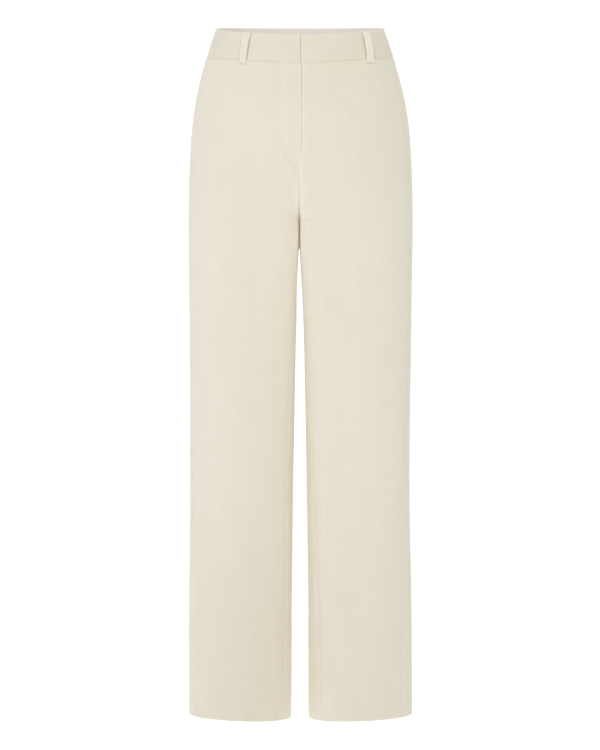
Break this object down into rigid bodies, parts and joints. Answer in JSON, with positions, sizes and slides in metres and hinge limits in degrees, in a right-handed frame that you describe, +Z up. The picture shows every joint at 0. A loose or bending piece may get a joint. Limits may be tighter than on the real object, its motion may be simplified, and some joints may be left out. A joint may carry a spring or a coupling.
{
  "type": "corduroy trousers",
  "caption": "High-waisted straight wide-leg trousers in fine cream needlecord, with a waistband, belt loops and a fly front, filled out and hollow as when worn.",
  "frame": {"origin": "the centre of the waist opening, level with the waistband's upper edge at the front, where the wearer's waist holds the garment up", "axes": "+Z up, out of the waist; the wearer faces -Y, so the wearer's left is +X"},
  "size_m": [0.341, 0.2411, 1.0603],
  "materials": {
    "needlecord": "fine cut-pile cotton cord, cream, matt with a soft nap",
    "zip_tape": "woven polyester tape with a nylon coil, cream",
    "metal": "satin nickel"
  },
  "bodies": {
    "root": {"front_right_upper": "needlecord", "front_right_lower": "needlecord", "front_left_upper": "needlecord", "front_left_lower": "needlecord", "back_right_upper": "needlecord", "back_right_lower": "needlecord", "back_left_upper": "needlecord", "back_left_lower": "needlecord", "waistband_front_right": "needlecord", "waistband_front_left": "needlecord", "waistband_back": "needlecord", "belt_loop_front_right": "needlecord", "belt_loop_front_left": "needlecord", "belt_loop_back_right": "needlecord", "belt_loop_back_centre": "needlecord", "belt_loop_back_left": "needlecord", "fly_underlap": "needlecord", "zip": "zip_tape", "zip_slider": "metal", "waist_hook": "metal", "waist_bar": "metal"}
  },
  "joints": []
}
